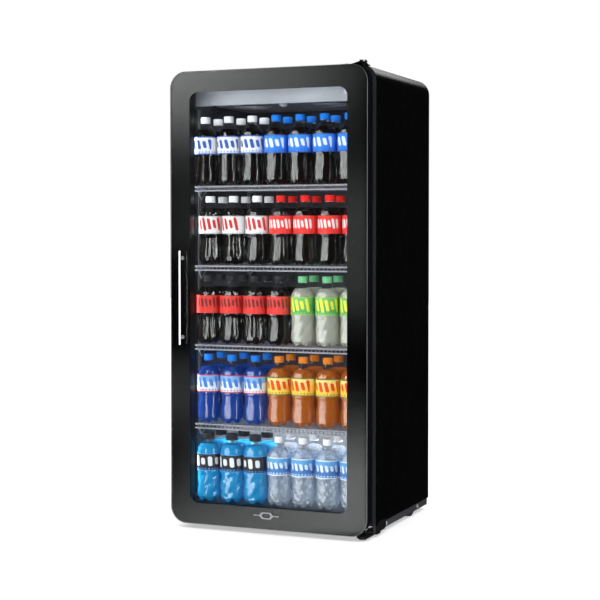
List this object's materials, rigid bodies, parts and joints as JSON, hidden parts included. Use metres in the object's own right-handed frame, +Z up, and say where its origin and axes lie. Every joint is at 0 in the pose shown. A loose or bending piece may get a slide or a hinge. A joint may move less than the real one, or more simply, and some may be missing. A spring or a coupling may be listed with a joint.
{
  "type": "glass door beverage cooler",
  "caption": "Self-contained drinks merchandiser with a hinged frameless glass door, wire shelves, lit interior, fan-cooled evaporator and condensing unit.",
  "frame": {"origin": "centre of the bounding box on the floor plane under the levelling feet", "axes": "+Z up, -Y out of the glass door's front, +X to the hinge side seen from the front"},
  "size_m": [0.632, 0.611, 1.388],
  "materials": {
    "gloss_black_paint": "gloss black powder coat",
    "insulation_foam": "sawn foam",
    "liner_black": "satin black liner",
    "galvanised_steel": "spangled zinc",
    "collar_black": "satin blue-black",
    "rail_steel": "dark grey paint",
    "bolt_zinc": "bright zinc",
    "compressor_black": "semi-gloss enamel",
    "rubber_black": "matte rubber",
    "fin_aluminium": "bare fins",
    "copper_tube": "drawn copper",
    "motor_black": "moulded black",
    "pan_plastic": "moulded black",
    "grille_black": "satin black",
    "header_grey": "satin light grey",
    "white_plastic": "white moulding",
    "fan_grey": "dark moulded blades",
    "led_diffuser": "smoked diffuser over the lamps",
    "shelf_standard": "grey steel",
    "shelf_wire": "light grey coated wire",
    "bracket_black": "satin black",
    "pin_steel": "ground steel",
    "door_glass": "clear tempered",
    "border_black": "black enamel fired on glass",
    "spacer_black": "black edge seal",
    "door_frame_black": "satin black extrusion",
    "handle_satin": "satin chrome",
    "badge_chrome": "polished",
    "bush_nylon": "black nylon",
    "foot_black": "black glass-filled nylon"
  },
  "bodies": {
    "cabinet": {"outer_wrap": "gloss_black_paint", "foam_core": "insulation_foam", "inner_liner": "liner_black", "rear_panel": "galvanised_steel", "front_collar": "collar_black", "bottom_panel": "galvanised_steel", "base_rails": "rail_steel", "base_crossbars": "rail_steel", "rail_bolts": "bolt_zinc", "compressor": "compressor_black", "compressor_grommets": "rubber_black", "condenser_fins": "fin_aluminium", "condenser_tube": "copper_tube", "condenser_shroud": "galvanised_steel", "condenser_fan_motor": "motor_black", "filter_drier": "copper_tube", "drain_pan": "pan_plastic", "refrigerant_lines": "copper_tube", "rear_grille": "grille_black", "power_inlet": "rubber_black", "header_panel": "header_grey", "temperature_display": "white_plastic", "evaporator_cover": "header_grey", "evaporator_coil": "fin_aluminium", "evap_fan_guards": "shelf_wire", "evap_fan_motors": "motor_black", "drain_tube": "pan_plastic", "led_strips": "led_diffuser", "pilasters": "shelf_standard", "shelf_clips": "shelf_wire", "thermostat_housing": "motor_black", "top_hinge_bracket": "bracket_black", "top_hinge_pin": "pin_steel", "hinge_screws": "bolt_zinc", "lower_hinge_bracket": "bracket_black", "lower_hinge_pin": "pin_steel"},
    "door": {"outer_glass": "door_glass", "glass_border": "border_black", "glass_spacer": "spacer_black", "inner_glass": "door_glass", "door_frame": "door_frame_black", "gasket": "rubber_black", "handle_bar": "handle_satin", "handle_posts": "handle_satin", "badge": "badge_chrome", "hinge_bushes": "bush_nylon", "closer_torsion_bar": "pin_steel"},
    "shelf_1": {"shelf_1": "shelf_wire"},
    "shelf_2": {"shelf_2": "shelf_wire"},
    "shelf_3": {"shelf_3": "shelf_wire"},
    "shelf_4": {"shelf_4": "shelf_wire"},
    "evap_fan_left": {"evap_fan_left": "fan_grey"},
    "evap_fan_right": {"evap_fan_right": "fan_grey"},
    "condenser_fan": {"condenser_fan": "fin_aluminium"},
    "thermostat_knob": {"thermostat_knob": "white_plastic"},
    "light_switch": {"light_switch": "motor_black"},
    "foot_front_left": {"foot_front_left": "foot_black"},
    "foot_front_right": {"foot_front_right": "foot_black"},
    "foot_rear_left": {"foot_rear_left": "foot_black"},
    "foot_rear_right": {"foot_rear_right": "foot_black"}
  },
  "joints": [
    {"name": "door_hinge", "type": "hinge", "parent": "cabinet", "child": "door", "pos_m": [0.292, -0.2515, 0.69], "axis": [0, 0, 1], "range_deg": [0, 105], "stiffness_Nm_per_rad": 2, "springref_deg": -22.92},
    {"name": "shelf_1_lift", "type": "slide", "parent": "cabinet", "child": "shelf_1", "axis": [0, 0, 1], "range_m": [0, 0.012]},
    {"name": "shelf_2_lift", "type": "slide", "parent": "cabinet", "child": "shelf_2", "axis": [0, 0, 1], "range_m": [0, 0.012]},
    {"name": "shelf_3_lift", "type": "slide", "parent": "cabinet", "child": "shelf_3", "axis": [0, 0, 1], "range_m": [0, 0.012]},
    {"name": "shelf_4_lift", "type": "slide", "parent": "cabinet", "child": "shelf_4", "axis": [0, 0, 1], "range_m": [0, 0.012]},
    {"name": "evap_fan_left_spin", "type": "hinge", "parent": "cabinet", "child": "evap_fan_left", "pos_m": [-0.13, -0.0815, 1.303], "axis": [0, 0, 1], "continuous": true},
    {"name": "evap_fan_right_spin", "type": "hinge", "parent": "cabinet", "child": "evap_fan_right", "pos_m": [0.13, -0.0815, 1.303], "axis": [0, 0, 1], "continuous": true},
    {"name": "condenser_fan_spin", "type": "hinge", "parent": "cabinet", "child": "condenser_fan", "pos_m": [0.15, 0.2095, 0.132], "axis": [0, 1, 0], "continuous": true},
    {"name": "thermostat_turn", "type": "hinge", "parent": "cabinet", "child": "thermostat_knob", "pos_m": [0, -0.1525, 1.278], "axis": [0, 0, 1], "range_deg": [0, 270]},
    {"name": "light_switch_rock", "type": "hinge", "parent": "cabinet", "child": "light_switch", "pos_m": [-0.215, -0.1795, 1.282], "axis": [1, 0, 0], "range_deg": [-16, 0]},
    {"name": "foot_front_left_level", "type": "slide", "parent": "cabinet", "child": "foot_front_left", "axis": [0, 0, -1], "range_m": [0, 0.015]},
    {"name": "foot_front_right_level", "type": "slide", "parent": "cabinet", "child": "foot_front_right", "axis": [0, 0, -1], "range_m": [0, 0.015]},
    {"name": "foot_rear_left_level", "type": "slide", "parent": "cabinet", "child": "foot_rear_left", "axis": [0, 0, -1], "range_m": [0, 0.015]},
    {"name": "foot_rear_right_level", "type": "slide", "parent": "cabinet", "child": "foot_rear_right", "axis": [0, 0, -1], "range_m": [0, 0.015]}
  ]
}
